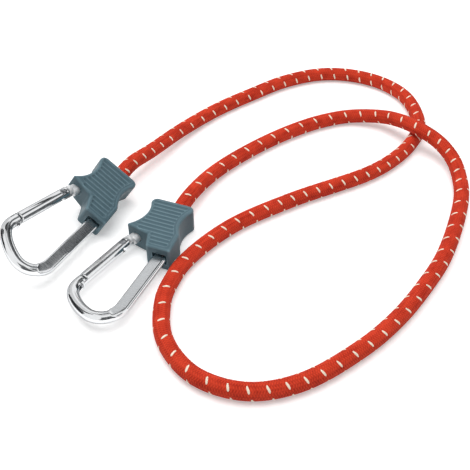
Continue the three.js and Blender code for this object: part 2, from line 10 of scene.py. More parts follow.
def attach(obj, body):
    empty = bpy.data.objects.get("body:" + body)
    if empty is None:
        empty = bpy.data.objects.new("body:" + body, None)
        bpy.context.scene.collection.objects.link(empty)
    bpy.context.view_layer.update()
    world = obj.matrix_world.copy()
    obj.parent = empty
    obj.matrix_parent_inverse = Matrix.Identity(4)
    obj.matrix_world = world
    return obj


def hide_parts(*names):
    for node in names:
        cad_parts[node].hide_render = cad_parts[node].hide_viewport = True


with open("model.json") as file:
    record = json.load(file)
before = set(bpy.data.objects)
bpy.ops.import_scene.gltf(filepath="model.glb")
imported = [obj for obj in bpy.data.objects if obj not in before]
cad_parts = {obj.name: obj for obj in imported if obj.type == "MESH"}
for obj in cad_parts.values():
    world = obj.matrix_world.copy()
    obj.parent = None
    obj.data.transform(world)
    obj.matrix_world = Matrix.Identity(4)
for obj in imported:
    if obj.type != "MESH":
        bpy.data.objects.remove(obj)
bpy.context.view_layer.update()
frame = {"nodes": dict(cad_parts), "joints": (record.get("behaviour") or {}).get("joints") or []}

bl_info = {
    "name": "Bungee Cord with Carabiner Ends",
    "version": (1, 0, 0),
    "blender": (4, 5, 0),
    "location": "View3D > Sidebar > Bungee",
    "description": "Builds a braided cord with its tracer yarn, moulded grips, carabiners and a stage",
    "category": "Object",
}

MM = 0.001
ENDS = ("a", "b")
ROOT = "cord_and_hooks"

# Hook frame in millimetres: x forward from the grip's rear face, y to the spine side, z through the thickness
HINGE_X, HINGE_Y = 33, -13.9
HINGE = Vector((HINGE_X, HINGE_Y, 0))
GATE_ANGLE = math.radians(13.5)
SPINE_TILT = math.radians(3)
SPINE_START = 31
# The cord's axis lies to the spine side of the hook's, and runs straight behind the grip and inside it
CORD_OFFSET = 1.3
CORD_LEAD = 14
CORD_INSIDE = 6

# The cord's free run from hook a to hook b, in millimetres
ROUTE = [
    (-54, -34.5, 8.8), (-84, -28.6, 5.6), (-113.5, -18.3, 4), (-137.5, -4.6, 4), (-160.5, 10.5, 4),
    (-177, 29, 4), (-183.3, 48, 4), (-181.7, 68.5, 4), (-172.4, 85.4, 4), (-157.9, 96, 4),
    (-139, 102.5, 4), (-121, 101.2, 4), (-103.5, 95.7, 4), (-85.4, 85.7, 4), (-46.3, 51.8, 4),
    (-14.6, 29.6, 4), (17, 18.4, 4), (32, 17.6, 4), (44.6, 19.3, 4), (65.9, 29.9, 4),
    (79.5, 50.2, 4), (79.4, 73.7, 4), (66.8, 93.9, 4), (38.4, 114.1, 4), (15.8, 124.6, 4),
    (-7.6, 131.7, 4), (-34.7, 137.1, 4), (-80.5, 137.6, 4), (-97.2, 134, 4.8), (-111, 127.3, 7.2),
    (-119.6, 117.3, 10.6), (-126, 104, 12.5), (-132, 93.2, 11.2), (-138, 80.5, 7.6), (-136, 60.7, 4.4),
    (-124.1, 45, 4), (-107.3, 31.3, 4), (-87.7, 19.2, 4), (-64.7, 8.6, 4.4), (-47, 3.4, 5.2),
]
# The tracer yarn is laid out by stretches of the cord, in millimetres, with so many stitches to a turn
STRETCH = 50
STITCHES = 4
# How far its rows of stitches are turned round the cord where the stretches meet, in degrees: these follow
# the angles that a program measured in the photograph
TWIST = (55, 56, 64, 78, 87, 105, 128, 135, 154, 164, 178, 208, 215, 218, 235, 243, 243, 234, 247, 248, 260)
# Millimetres to a turn on each stretch, from a program's fit to the stitches in the photograph
PITCHES = (
    8.5, 10.2, 9.7, 9.3, 8.7, 9, 7.8, 8, 9.3, 10.6, 10.2, 8.2, 9.2, 9.7, 10.3, 8.1, 9.9, 10.4, 10.4, 11.8)
# The part of a turn that comes before the cord's start, from the same fit
FIRST_TURN = 0.72
# Where the cards round the hooks are centred
HOOKS = Vector((50, -20, 10))
# The camera's place in metres, and how it is tilted up from straight down and turned
CAMERA_PLACE = (0.2651, 0.1421, 0.2742)
CAMERA_TILT = math.radians(47.55)
CAMERA_TURN = math.radians(111.42)


def linear(code):
    """An sRGB hex colour as linear RGBA."""
    parts = [int(code[place:place + 2], 16) / 255 for place in (1, 3, 5)]
    return (*(part / 12.92 if part <= 0.04045 else ((part + 0.055) / 1.055) ** 2.4 for part in parts), 1.0)


def length(label, text, value):
    """A length setting, given in millimetres and kept in metres."""
    return bpy.props.FloatProperty(
        name=label, description=text, default=value * MM, unit="LENGTH", precision=5)


def colour(label, text, code):
    """A colour setting, given as sRGB hex."""
    return bpy.props.FloatVectorProperty(
        name=label, description=text, default=linear(code), size=4, subtype="COLOR", min=0, max=1)


class BungeeCordSettings(bpy.types.PropertyGroup):
    """The braided cord and the pale tracer yarn in it."""
    diameter: length("Diameter", "Across the braided sheath", 8)
    crown: length("Yarn crown", "How far the yarns stand proud of that diameter", 0.1)
    tracer_pitch: length("Tracer pitch", "Along the cord for one mean turn of the tracer yarn", 9.3)
    tracer_width: length("Tracer width", "Across one stitch of the tracer yarn", 1.3)
    tracer_lift: length("Tracer lift", "How far a stitch stands proud of the sheath", 0.16)
    sheath: colour("Sheath", "Dyed polyester yarn", "#DA442B")
    # The dark end of the uneven dye, and the painted shade between the yarns and in the streaks
    sheath_dye_and_shade: colour("Sheath shade", "Between the yarns", "#A22315")
    tracer: colour("Tracer", "Undyed yarn of the stitches", "#FFF3DF")


class BungeeGripSettings(bpy.types.PropertyGroup):
    """The moulded grip on each end."""
    thickness: length("Thickness", "Between the two ribbed faces", 14)
    edge: length("Edge rounding", "Radius along the rim of both faces", 1.1)
    groove: length("Groove radius", "Radius of the grooves between the ribs", 1.25)
    groove_depth: length("Groove depth", "From the top of a rib to the floor of a groove", 0.65)
    plastic: colour("Plastic", "Slate blue moulding", "#506972")
    plastic_shade: colour("Plastic shade", "Darker flow in the moulding", "#455C66")
    # A painted highlight for the rims and rib tops
    plastic_edge_highlight: colour("Plastic edge", "Rubbed rims and rib tops", "#86A3AD")


class BungeeCarabinerSettings(bpy.types.PropertyGroup):
    """The bent bar, the gate and what is in it."""
    bar: length("Bar diameter", "Round bar of the hook", 5.8)
    flat_width: length("Flat width", "Across the pressed flat on the spine", 6.5)
    flat_thickness: length("Flat thickness", "Through the pressed flat", 4.2)
    gate: length("Gate diameter", "Round rod of the gate", 5.9)
    aluminium: colour("Aluminium", "Polished bar and gate", "#F0F1F2")
    pressed: colour("Pressed aluminium", "Flat that the press left on the spine", "#D4D6D8")
    steel: colour("Steel", "Rivet, plunger and ferrule", "#B4B8BC")
    spring: colour("Spring wire", "Drawn wire in the gate", "#8B8F93")


class BungeeStageSettings(bpy.types.PropertyGroup):
    """Camera, floor and lamps."""
    lens: bpy.props.FloatProperty(
        name="Lens", description="Focal length on a 36 mm sensor", default=59.73, subtype="DISTANCE_CAMERA")
    softbox_power: bpy.props.FloatProperty(
        name="Softbox power", description="Overhead softbox", default=9.2, unit="POWER")
    side_power: bpy.props.FloatProperty(
        name="Side power", description="Softbox behind on the left", default=2.5, unit="POWER")
    sky: bpy.props.FloatProperty(name="Sky", description="Even light from all round", default=0.37, min=0)
    floor: colour("Floor", "White sweep that the cord lies on", "#F4F4F4")
    flag: colour("Flag", "Dark cards that only reflections see", "#434547")
    grey_card: colour("Grey card", "Grey cards that only reflections see", "#7E8082")


def settings(name):
    """The settings group of that name on the scene."""
    return getattr(bpy.context.scene, f"bungee_{name}")


# Materials

# The colour output of a Mix node
COLOUR = 2


def add_node(tree, kind, inputs=None, output=0, **options):
    """Adds a shader node, sets its options and its inputs, each a value or a link, and returns an output."""
    node = tree.nodes.new(f"ShaderNode{kind}")
    for name, value in options.items():
        setattr(node, name, value)
    for key, value in (inputs or {}).items():
        if isinstance(value, bpy.types.NodeSocket):
            tree.links.new(value, node.inputs[key])
        else:
            node.inputs[key].default_value = value
    return node.outputs[output] if node.outputs else None


def new_material(name):
    """A material with an empty node tree."""
    material = bpy.data.materials.new(name)
    material.use_nodes = True
    material.node_tree.nodes.clear()
    return material, material.node_tree


def finish_material(material, shader):
    """Gives a material its shader."""
    add_node(material.node_tree, "OutputMaterial", {"Surface": shader})
    return material


def finish_relief(material, tones, height, strength, depth, sockets):
    """Gives a material a shader between two colours by a pattern, with a relief to a depth in millimetres."""
    tree = material.node_tree
    pattern, low, high = tones
    base = add_node(tree, "Mix", {0: pattern, 6: low, 7: high}, COLOUR, data_type="RGBA")
    bump = add_node(tree, "Bump", {"Height": height, "Strength": strength, "Distance": depth * MM})
    shader = add_node(tree, "BsdfPrincipled", {"Base Color": base, "Normal": bump, **sockets})
    return finish_material(material, shader)


def per_metre(size):
    """How often a pattern of a size in millimetres comes in a metre."""
    return 1 / (size * MM)


def dimmed(tone, share):
    """A colour with a share of its light."""
    return (*(share * part for part in tone[:3]), 1.0)


def braided_polyester(cord):
    """Textured polyester yarn, braided: matt, a fine cross rib, painted shade between the yarns, soft edges.
    """
    material, tree = new_material("braided_polyester_sheath")
    yarns = 8
    slope = yarns * math.pi * cord.diameter / cord.tracer_pitch
    girth = math.pi * (cord.diameter + 2 * cord.crown) / MM
    uv = add_node(tree, "UVMap")
    hands = [
        add_node(tree, "VectorMath", {0: uv, 1: (hand * slope, yarns, 0)}, "Value", operation="DOT_PRODUCT")
        for hand in (-1, 1)]
    crowns = [add_node(tree, "Math", {0: hand, 1: 0.5}, operation="PINGPONG") for hand in hands]
    lattice = add_node(tree, "CombineXYZ", {"X": hands[0], "Y": hands[1], "Z": 0.5})
    over = add_node(tree, "TexChecker", {"Vector": lattice, "Scale": 1.0}, "Fac")
    height = add_node(tree, "Mix", {0: over, 2: crowns[0], 3: crowns[1]})
    # Uneven dye along the yarn, in patches of about 6 mm, and single filaments of about 0.4 mm
    place = add_node(tree, "TexCoord", output="Object")
    patches = add_node(tree, "TexNoise", {"Vector": place, "Scale": per_metre(6.25), "Detail": 3})
    filaments = add_node(tree, "TexNoise", {"Vector": place, "Scale": per_metre(0.4), "Detail": 1})
    # Streaks about 1.3 mm wide and 43 mm long, painted lighter and darker as light and shade on yarns that
    # lie a little higher or lower than their neighbours
    along = add_node(tree, "Mapping", {"Vector": uv, "Scale": (girth / 43, girth / 1.29, 1)})
    streaks = add_node(tree, "TexNoise", {"Vector": along, "Scale": 1, "Detail": 2})
    patches = add_node(tree, "Math", {0: patches, 1: streaks})
    # The braid's low places between the yarns are painted darker, a painted shade, on top of the uneven dye
    # and the painted streaks
    dye_and_painted_shade = add_node(tree, "Math", {0: height, 1: 1.1, 2: patches}, operation="MULTIPLY_ADD")
    dye_and_shade_share = add_node(tree, "MapRange", {0: dye_and_painted_shade, 1: 0.75, 2: 1.5})
    relief = add_node(tree, "Math", {0: filaments, 1: 0.25, 2: height}, operation="MULTIPLY_ADD")
    return finish_relief(
        material, (dye_and_shade_share, cord.sheath_dye_and_shade, cord.sheath), relief, strength=0.8, depth=0.4,
        sockets={"Roughness": 0.8, "Specular IOR Level": 0.15})


def tracer_yarn(cord):
    """Undyed polyester yarn, twisted: chalky, with fine lines along the stitch."""
    material, tree = new_material("undyed_polyester_tracer")
    # Twist lines every 0.3 mm, drawn coarser than the filament so that they show
    uv = add_node(tree, "UVMap")
    twist = add_node(tree, "TexWave", {"Vector": uv, "Scale": 1.4, "Distortion": 1.5, "Detail": 1}, "Fac")
    return finish_relief(
        material, (twist, linear("#F3E4CB"), cord.tracer), twist, strength=0.4, depth=0.1,
        sockets={"Roughness": 0.7, "Sheen Weight": 0.2})


def moulded_polypropylene(grip):
    """Injection-moulded polypropylene from a spark-eroded mould: satin, a fine grain, rims and rib tops
    painted paler as a highlight.
    """
    material, tree = new_material("moulded_polypropylene_grip")
    place = add_node(tree, "TexCoord", output="Object")
    # Flow marks about 12 mm long, and mould grain of about 0.15 mm drawn at 0.3 mm so that it shows
    flow = add_node(tree, "TexNoise", {"Vector": place, "Scale": per_metre(11.8), "Detail": 4})
    grain = add_node(tree, "TexNoise", {"Vector": place, "Scale": per_metre(0.303), "Detail": 2})
    body = add_node(tree, "Mix", {0: flow, 6: grip.plastic_shade, 7: grip.plastic}, COLOUR, data_type="RGBA")
    # Convex rims and rib tops are painted paler: a painted highlight along the edges
    corner = add_node(tree, "NewGeometry", output="Pointiness")
    edge_highlight = add_node(tree, "MapRange", {0: corner, 1: 0.505, 2: 0.555, 4: 0.9})
    gloss = add_node(tree, "MapRange", {0: grain, 1: 0.3, 2: 0.7, 3: 0.42, 4: 0.56})
    return finish_relief(
        material, (edge_highlight, body, grip.plastic_edge_highlight), grain, strength=0.25, depth=0.05,
        sockets={"Roughness": gloss, "IOR": 1.49, "Specular IOR Level": 0.35})


def polished_aluminium(carabiner):
    """Drawn aluminium, bent and polished: mirror streaks broken by fine lines and tumble marks."""
    material, tree = new_material("polished_drawn_aluminium")
    # Ninety draw lines round the bar, about 0.2 mm apart and 14 mm long
    uv = add_node(tree, "UVMap")
    stretched = add_node(tree, "Mapping", {"Vector": uv, "Scale": (UV_LENGTH / 14.29, 90, 1)})
    lines = add_node(tree, "TexNoise", {"Vector": stretched, "Scale": 1, "Detail": 3})
    # Tumble marks of about 2 mm
    place = add_node(tree, "TexCoord", output="Object")
    marks = add_node(tree, "TexNoise", {"Vector": place, "Scale": per_metre(2.083), "Detail": 3})
    wear = add_node(tree, "Math", {0: lines, 1: marks}, operation="MULTIPLY")
    gloss = add_node(tree, "MapRange", {0: wear, 1: 0.12, 2: 0.42, 3: 0.07, 4: 0.17})
    # A dark specular tint darkens the bar towards its outlines: painted shade along the edges
    return finish_relief(
        material, (marks, linear("#E2E4E6"), carabiner.aluminium), lines, strength=0.05, depth=0.1,
        sockets={"Roughness": gloss, "Metallic": 1.0, "Specular Tint": linear("#5A5D60")})


def pressed_aluminium(carabiner):
    """Aluminium flattened in a press and brushed: satin, with short fine lines across the flat."""
    material, tree = new_material("pressed_brushed_aluminium")
    # Brush lines of about 0.1 mm, drawn 0.4 mm wide and 6 mm long so that they show
    place = add_node(tree, "TexCoord", output="Object")
    brush = (per_metre(0.4), per_metre(6.25), per_metre(6.25))
    stretched = add_node(tree, "Mapping", {"Vector": place, "Scale": brush})
    lines = add_node(tree, "TexNoise", {"Vector": stretched, "Scale": 1, "Detail": 2})
    gloss = add_node(tree, "MapRange", {0: lines, 1: 0.3, 2: 0.7, 3: 0.24, 4: 0.34})
    return finish_relief(
        material, (lines, linear("#C2C5C8"), carabiner.pressed), lines, strength=0.08, depth=0.1,
        sockets={"Roughness": gloss, "Metallic": 1.0})


def worked_metal(name, tone, roughness, spacing, metallic=1.0):
    """Metal with tool marks of a given spacing in millimetres: duller than the bar, with a broken shine."""
    material, tree = new_material(name)
    low, high = roughness
    place = add_node(tree, "TexCoord", output="Object")
    marks = add_node(tree, "TexNoise", {"Vector": place, "Scale": per_metre(spacing), "Detail": 3})
    gloss = add_node(tree, "MapRange", {0: marks, 1: 0.3, 2: 0.7, 3: low, 4: high})
    return finish_relief(
        material, (marks, dimmed(tone, 0.75), tone), marks, strength=0.15, depth=spacing / 10,
        sockets={"Roughness": gloss, "Metallic": metallic})


def background_rays(tree):
    """1 for the rays that show a background: from the camera, off metal or through glass."""
    path = add_node(tree, "LightPath").node.outputs
    seen = add_node(tree, "Math", {0: path["Is Camera Ray"], 1: path["Is Glossy Ray"]})
    return add_node(tree, "Math", {0: seen, 1: path["Is Transmission Ray"]})


def white_sweep(stage):
    """Matt white paper: takes the shadows, and reads white to the camera and in the metal."""
    material, tree = new_material("matt_white_paper")
    place = add_node(tree, "TexCoord", output="Object")
    # Paper fibre of about 3 mm
    fibre = add_node(tree, "TexNoise", {"Vector": place, "Scale": per_metre(3.03), "Detail": 2})
    base = add_node(tree, "Mix", {0: fibre, 6: linear("#EFEFEF"), 7: stage.floor}, COLOUR, data_type="RGBA")
    paper = add_node(tree, "BsdfDiffuse", {"Color": base})
    seen = background_rays(tree)
    lift = add_node(tree, "Math", {0: seen, 1: 0.34}, operation="MULTIPLY")
    near = add_node(tree, "AddShader", {0: paper, 1: add_node(tree, "Emission", {"Strength": lift})})
    # Past the reach of the lamps the paper runs on plain white
    reach = add_node(tree, "VectorMath", {0: place}, "Value", operation="LENGTH")
    away = add_node(tree, "MapRange", {0: reach, 1: 0.35, 2: 1.1}, interpolation_type="SMOOTHSTEP")
    away = add_node(tree, "Math", {0: away, 1: seen}, operation="MULTIPLY")
    plain = add_node(tree, "Emission", {"Strength": 1.0})
    return finish_material(material, add_node(tree, "MixShader", {0: away, 1: near, 2: plain}))


def felt(name, tone):
    """Felt on a card: matt, with a little nap."""
    material, tree = new_material(name)
    # Nap of about 4 mm
    place = add_node(tree, "TexCoord", output="Object")
    nap = add_node(tree, "TexNoise", {"Vector": place, "Scale": per_metre(4), "Detail": 2})
    base = add_node(tree, "Mix", {0: nap, 6: dimmed(tone, 0.8), 7: tone}, COLOUR, data_type="RGBA")
    return finish_material(material, add_node(tree, "BsdfDiffuse", {"Color": base}))


def scrim(name, level):
    """Thin white cloth that the sky shines through, a little dimmer than the bare sky."""
    material, tree = new_material(name)
    cloth = add_node(tree, "Emission", {"Color": linear("#FFFFFF"), "Strength": level})
    return finish_material(material, cloth)


# Shapes, in millimetres

# How far along a turned or swept piece one unit of its UV reaches
UV_LENGTH = 10


def skin(rings, along):
    """Quads between closed rings, capped at both ends, with a UV that runs along and round."""
    count = len(rings[0])
    vertices = [point for ring in rings for point in ring]
    faces = []
    uvs = []
    for row in range(len(rings) - 1):
        for side in range(count):
            after = (side + 1) % count
            low = row * count
            high = low + count
            faces.append((low + side, low + after, high + after, high + side))
            uvs += [
                (along[row], side / count), (along[row], (side + 1) / count),
                (along[row + 1], (side + 1) / count), (along[row + 1], side / count)]
    faces.append(tuple(reversed(range(count))))
    faces.append(tuple(range(len(vertices) - count, len(vertices))))
    uvs += [(0, 0)] * (2 * count)
    return vertices, faces, uvs


def turned(profile, sides=48):
    """A profile of (x, radius) turned round the x axis."""
    turns = [2 * math.pi * side / sides for side in range(sides)]
    rings = [[Vector((x, radius * math.cos(turn), radius * math.sin(turn))) for turn in turns]
             for x, radius in profile]
    return skin(rings, [x / UV_LENGTH for x, _ in profile])


def prism(outline, low, high):
    """An outline of (x, y), run anticlockwise, raised from one height to another."""
    count = len(outline)
    vertices = [Vector((x, y, z)) for z in (low, high) for x, y in outline]
    faces = [(side, (side + 1) % count, (side + 1) % count + count, side + count) for side in range(count)]
    faces.append(tuple(reversed(range(count))))
    faces.append(tuple(range(count, 2 * count)))
    return vertices, faces, None


def block(low, high):
    """A box from its lowest corner to its highest."""
    (x0, y0, z0), (x1, y1, z1) = low, high
    return prism([(x0, y0), (x1, y0), (x1, y1), (x0, y1)], z0, z1)


def moved(shape, matrix):
    """A shape with its points taken through a matrix."""
    vertices, faces, uvs = shape
    return [matrix @ point for point in vertices], faces, uvs


def build(name, shape, matrix, material=None):
    """An object from a shape in millimetres, placed by a matrix in metres."""
    vertices, faces, uvs = shape
    mesh = bpy.data.meshes.new(name)
    mesh.from_pydata([point * MM for point in vertices], [], faces)
    layer = mesh.uv_layers.new(name="UVMap")
    for loop, uv in zip(layer.data, uvs or []):
        loop.uv = uv
    piece = bpy.data.objects.new(name, mesh)
    bpy.context.scene.collection.objects.link(piece)
    piece.matrix_world = matrix
    if material:
        mesh.materials.append(material)
    return piece


def apply_modifiers(piece):
    """Bakes a piece's modifiers into its mesh."""
    bpy.context.view_layer.update()
    graph = bpy.context.evaluated_depsgraph_get()
    baked = bpy.data.meshes.new_from_object(piece.evaluated_get(graph))
    piece.modifiers.clear()
    old = piece.data
    piece.data = baked
    bpy.data.meshes.remove(old)


def combine(piece, shape, operation="DIFFERENCE"):
    """Cuts a shape from a piece, or joins it on, in the piece's own frame."""
    tool = build("tool", shape, piece.matrix_world)
    step = piece.modifiers.new("combine", "BOOLEAN")
    step.operation = operation
    step.solver = "EXACT"
    step.object = tool
    apply_modifiers(piece)
    mesh = tool.data
    bpy.data.objects.remove(tool)
    bpy.data.meshes.remove(mesh)
    if not piece.data.polygons:
        raise RuntimeError(f"{piece.name} lost its faces in a {operation.lower()}")


def drop_slivers(piece):
    """Closes up the edges of no length that cuts can leave."""
    shortest = 0.002 * MM
    bm = bmesh.new()
    bm.from_mesh(piece.data)
    bmesh.ops.dissolve_degenerate(bm, dist=shortest, edges=bm.edges)
    bm.to_mesh(piece.data)
    bm.free()


def smooth(piece, angle=None):
    """Smooth shading, with edges sharper than an angle kept."""
    piece.data.shade_smooth()
    if angle:
        piece.data.set_sharp_from_angle(angle=math.radians(angle))


def settle(piece, body, slot, *nodes):
    """Fixes a piece to a body, in place of its nodes; the slot given for its finish is not used."""
    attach(piece, body)
    if nodes:
        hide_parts(*nodes)


def hook_matrix(end):
    """A hook's own frame, from its hinge and the direction of its gate."""
    joints = {joint["name"]: joint for joint in frame["joints"]}
    hinge = joints[f"gate_{end}_hinge"]
    up = Vector(hinge["axis"]).normalized()
    gate = Vector(joints[f"plunger_{end}_slide"]["axis"]).normalized()
    forward = Matrix.Rotation(GATE_ANGLE, 3, up) @ gate
    turn = Matrix((forward, up.cross(forward), up)).transposed().to_4x4()
    return Matrix.Translation(hinge["pos_m"]) @ turn @ Matrix.Translation(-HINGE * MM)


def gate_matrix(end):
    """The gate's frame: x from the hinge pin to the latch."""
    return hook_matrix(end) @ GATE_IN_HOOK_M


GATE_IN_HOOK = Matrix.Translation(HINGE) @ Matrix.Rotation(-GATE_ANGLE, 4, "Z")
# The neck behind the gate stands a little towards the spine
NECK_IN_HOOK = GATE_IN_HOOK @ Matrix.Translation((0, 1.7, 0))
GATE_IN_HOOK_M = Matrix.Translation(HINGE * MM) @ Matrix.Rotation(-GATE_ANGLE, 4, "Z")
# Takes a prism's outline from (x, y) to (x, z)
ON_EDGE = Matrix.Rotation(math.radians(90), 4, "X")
# Takes a turned piece's axis from x to z
UPRIGHT = Matrix.Rotation(-math.pi / 2, 4, "Y")


# The cord

def spline(points, steps):
    """A centripetal spline through the points."""
    ends = [2 * points[0] - points[1], *points, 2 * points[-1] - points[-2]]
    run = []
    for before, start, stop, after in zip(ends, ends[1:], ends[2:], ends[3:]):
        first, middle, last = (
            math.sqrt((far - near).length) for near, far in ((before, start), (start, stop), (stop, after)))
        pace = (stop - start) / middle
        leave = ((start - before) / first - (stop - before) / (first + middle) + pace) * middle
        reach = (pace - (after - start) / (middle + last) + (after - stop) / last) * middle
        for step in range(steps):
            t = step / steps
            run.append(
                start + leave * t + (3 * (stop - start) - 2 * leave - reach) * t ** 2
                + (2 * (start - stop) + leave + reach) * t ** 3)
    return [*run, points[-1]]


def even(points, spacing):
    """Points at an even spacing along a path, and how far along each one lies."""
    reach = [0.0]
    for near, far in zip(points, points[1:]):
        reach.append(reach[-1] + (far - near).length)
    count = round(reach[-1] / spacing)
    places = [reach[-1] * step / count for step in range(count + 1)]
    run = []
    span = 0
    for place in places:
        while span < len(points) - 2 and reach[span + 1] < place:
            span += 1
        share = (place - reach[span]) / (reach[span + 1] - reach[span])
        run.append(points[span].lerp(points[span + 1], share))
    return run, places


def tangents(points):
    """A path's direction at each of its points."""
    behind = [points[0], *points[:-1]]
    ahead = [*points[1:], points[-1]]
    return [(far - near).normalized() for near, far in zip(behind, ahead)]


def carried_frames(points):
    """The tangent and two normals at each point, carried along with no twist."""
    normal = Vector((0, 0, 1))
    frames = []
    for tangent in tangents(points):
        normal = (normal - tangent * normal.dot(tangent)).normalized()
        frames.append((tangent, normal, tangent.cross(normal)))
    return frames


def cord_route():
    """The cord's middle line, from inside grip a to inside grip b."""
    def on_axis(end, x):
        return hook_matrix(end) @ (Vector((x, CORD_OFFSET, 0)) * MM) / MM

    free = [
        on_axis("a", 0), on_axis("a", -CORD_LEAD), *(Vector(point) for point in ROUTE),
        on_axis("b", -CORD_LEAD), on_axis("b", 0)]
    return [on_axis("a", CORD_INSIDE), *spline(free, steps=12), on_axis("b", CORD_INSIDE)]


def stitch_places():
    """Each stitch's number, and how far along the cord it lies."""
    low = FIRST_TURN
    for step, pitch in enumerate(PITCHES):
        high = low + STRETCH / pitch
        for stitch in range(math.ceil(STITCHES * low), math.ceil(STITCHES * high)):
            yield stitch, STRETCH * step + (stitch / STITCHES - low) * pitch
        low = high


def tracer_stitches(points, places, frames, cord):
    """Short pale stitches along the tracer yarn's helix, each a closed pointed pad on the sheath."""
    radius = (cord.diameter / 2 + cord.crown) / MM
    pitch = cord.tracer_pitch / MM
    half_width = cord.tracer_width / 2 / MM
    lift = cord.tracer_lift / MM
    half_turn = math.radians(28)
    # A stitch lies flatter than the helix, pulled square by the yarns that cross it
    pulled = 0.6
    slant = pulled * half_turn * pitch / (2 * math.pi)
    # Its rim and its root lie under the face of the sheath
    rim, root = radius - 0.05, radius - 0.3
    just_before_end = len(points) - 1.001

    def on_cord(along, around, height):
        spot = min(max(along / places[1], 0), just_before_end)
        near = int(spot)
        centre = points[near].lerp(points[near + 1], spot - near)
        _, normal, side = frames[near]
        return centre + height * (math.cos(around) * normal + math.sin(around) * side)

    vertices = []
    faces = []
    uvs = []
    rows = 10
    across = (-1, -0.5, 0, 0.5, 1)
    ring = len(across) + 1
    # Each ring runs over the top of the pad and closes under the sheath
    turns = (0, 0.25, 0.5, 0.75, 1, 1, 0)
    for stitch, middle in stitch_places():
        stage, share = divmod(middle / STRETCH, 1)
        twist = TWIST[int(stage)] * (1 - share) + TWIST[int(stage) + 1] * share
        turn = math.radians(twist) + stitch * 2 * math.pi / STITCHES
        first = len(vertices)
        for row in range(1, rows):
            t = 2 * row / rows - 1
            full = math.sqrt(1 - t * t)
            around = turn + t * half_turn
            lead = middle + math.sin(t * math.pi / 2) * slant
            for place in across:
                height = rim + full * (radius + lift - rim) * (1 - place ** 2)
                vertices.append(on_cord(lead + place * full * half_width, around, height))
            vertices.append(on_cord(lead, around, root))
        last = len(vertices) - ring
        vertices += [on_cord(middle + end * slant, turn + end * half_turn, rim) for end in (-1, 1)]
        for column in range(ring):
            after = (column + 1) % ring
            u0, u1 = turns[column], turns[column + 1]
            for row in range(rows - 2):
                low = first + row * ring
                high = low + ring
                faces.append((low + column, high + column, high + after, low + after))
                uvs += [(u0, row), (u0, row + 1), (u1, row + 1), (u1, row)]
            faces.append((first + column, first + after, last + ring))
            uvs += [(u0, 0), (u1, 0), (0.5, -1)]
            faces.append((last + after, last + column, last + ring + 1))
            uvs += [(u1, rows - 2), (u0, rows - 2), (0.5, rows - 1)]
    return vertices, faces, uvs


class BUNGEE_OT_cord(bpy.types.Operator):
    """Build the braided cord along its run, with the tracer yarn's stitches"""
    bl_idname = "bungee.cord"
    bl_label = "Braided cord"

    def execute(self, context):
        cord = settings("cord")
        radius = (cord.diameter / 2 + cord.crown) / MM
        girth = 2 * math.pi * radius
        points, places = even(cord_route(), spacing=1.4)
        shape = skin(round_rings(points, radius, sides=28), [place / girth for place in places])
        sheath = build("braided_sheath_cord", shape, Matrix(), braided_polyester(cord))
        smooth(sheath, angle=60)
        settle(sheath, ROOT, "braided_sheath", "cord_sheath", "rubber_core")

        pads = tracer_stitches(points, places, carried_frames(points), cord)
        stitches = build("tracer_yarn_stitches", pads, Matrix(), tracer_yarn(cord))
        smooth(stitches)
        settle(stitches, ROOT, "braided_sheath")
        # The metal mirrors the white room, not the cord beside it
        sheath.visible_glossy = False
        stitches.visible_glossy = False
        return {"FINISHED"}


# The grips

def arc(centre, radius, start, stop, steps):
    """Points on an arc, both ends included."""
    turns = [start + (stop - start) * step / steps for step in range(steps + 1)]
    return [(centre[0] + radius * math.cos(turn), centre[1] + radius * math.sin(turn)) for turn in turns]


def grip_outline():
    """Rounded ears, a waist on each side, a shoulder square to the gate, and a spout round the spine."""
    length_x, ear, spout = 34.9, 3.0, (0.1, 12.9)
    shoulder_y, step_y = -16, -2.9
    gate_radius, spine_radius = 15.5, 17.5
    gate_waist = (11.3, -9.95 - gate_radius)
    spine_waist = (12.0, 9.4 + spine_radius)
    gate_ear = (ear, gate_waist[1] + math.sqrt((gate_radius + ear) ** 2 - (gate_waist[0] - ear) ** 2))
    spine_ear = (ear, spine_waist[1] - math.sqrt((spine_radius + ear) ** 2 - (spine_waist[0] - ear) ** 2))
    gate_touch = math.atan2(gate_ear[1] - gate_waist[1], gate_ear[0] - gate_waist[0])
    spine_touch = math.atan2(spine_ear[1] - spine_waist[1], spine_ear[0] - spine_waist[0])
    shoulder_turn = math.asin((shoulder_y - gate_waist[1]) / gate_radius)
    shoulder_x = gate_waist[0] + gate_radius * math.cos(shoulder_turn)
    step_x = shoulder_x + (step_y - shoulder_y) * math.tan(GATE_ANGLE)
    spout_turn = -math.asin((spine_waist[1] - spout[1]) / spine_radius)
    return [
        *arc(gate_ear, ear, math.pi, gate_touch + math.pi, 16),
        *arc(gate_waist, gate_radius, gate_touch, shoulder_turn, 24)[1:],
        (step_x, step_y), (length_x, spout[0]), (length_x, spout[1]),
        *arc(spine_waist, spine_radius, spout_turn, spine_touch, 28)[1:],
        *arc(spine_ear, ear, spine_touch + math.pi, math.pi, 16)[1:],
    ]


def sides_at(outline, x):
    """The outline's lowest and highest side at a distance from the rear face."""
    crossings = []
    for (x0, y0), (x1, y1) in zip(outline, outline[1:] + outline[:1]):
        if (x0 <= x) != (x1 <= x):
            crossings.append(y0 + (y1 - y0) * (x - x0) / (x1 - x0))
    return min(crossings), max(crossings)


def bar_between(start, stop, radius):
    """A round bar with domed ends along y, for cutting a groove."""
    turns = [math.radians(step) for step in (12, 35, 60, 90)]
    dome = [(radius * (1 - math.cos(turn)), radius * math.sin(turn)) for turn in turns]
    reach = stop[1] - start[1]
    profile = dome + [(reach - x, part) for x, part in reversed(dome)]
    along_y = Matrix.Rotation(math.pi / 2, 4, "Z")
    return moved(turned(profile, sides=16), Matrix.Translation(start) @ along_y)


def round_rings(points, radius, sides=12):
    """Round sections square to a path."""
    turns = [2 * math.pi * side / sides for side in range(sides)]
    return [
        [point + radius * (math.cos(turn) * normal + math.sin(turn) * side) for turn in turns]
        for point, (_, normal, side) in zip(points, carried_frames(points))]


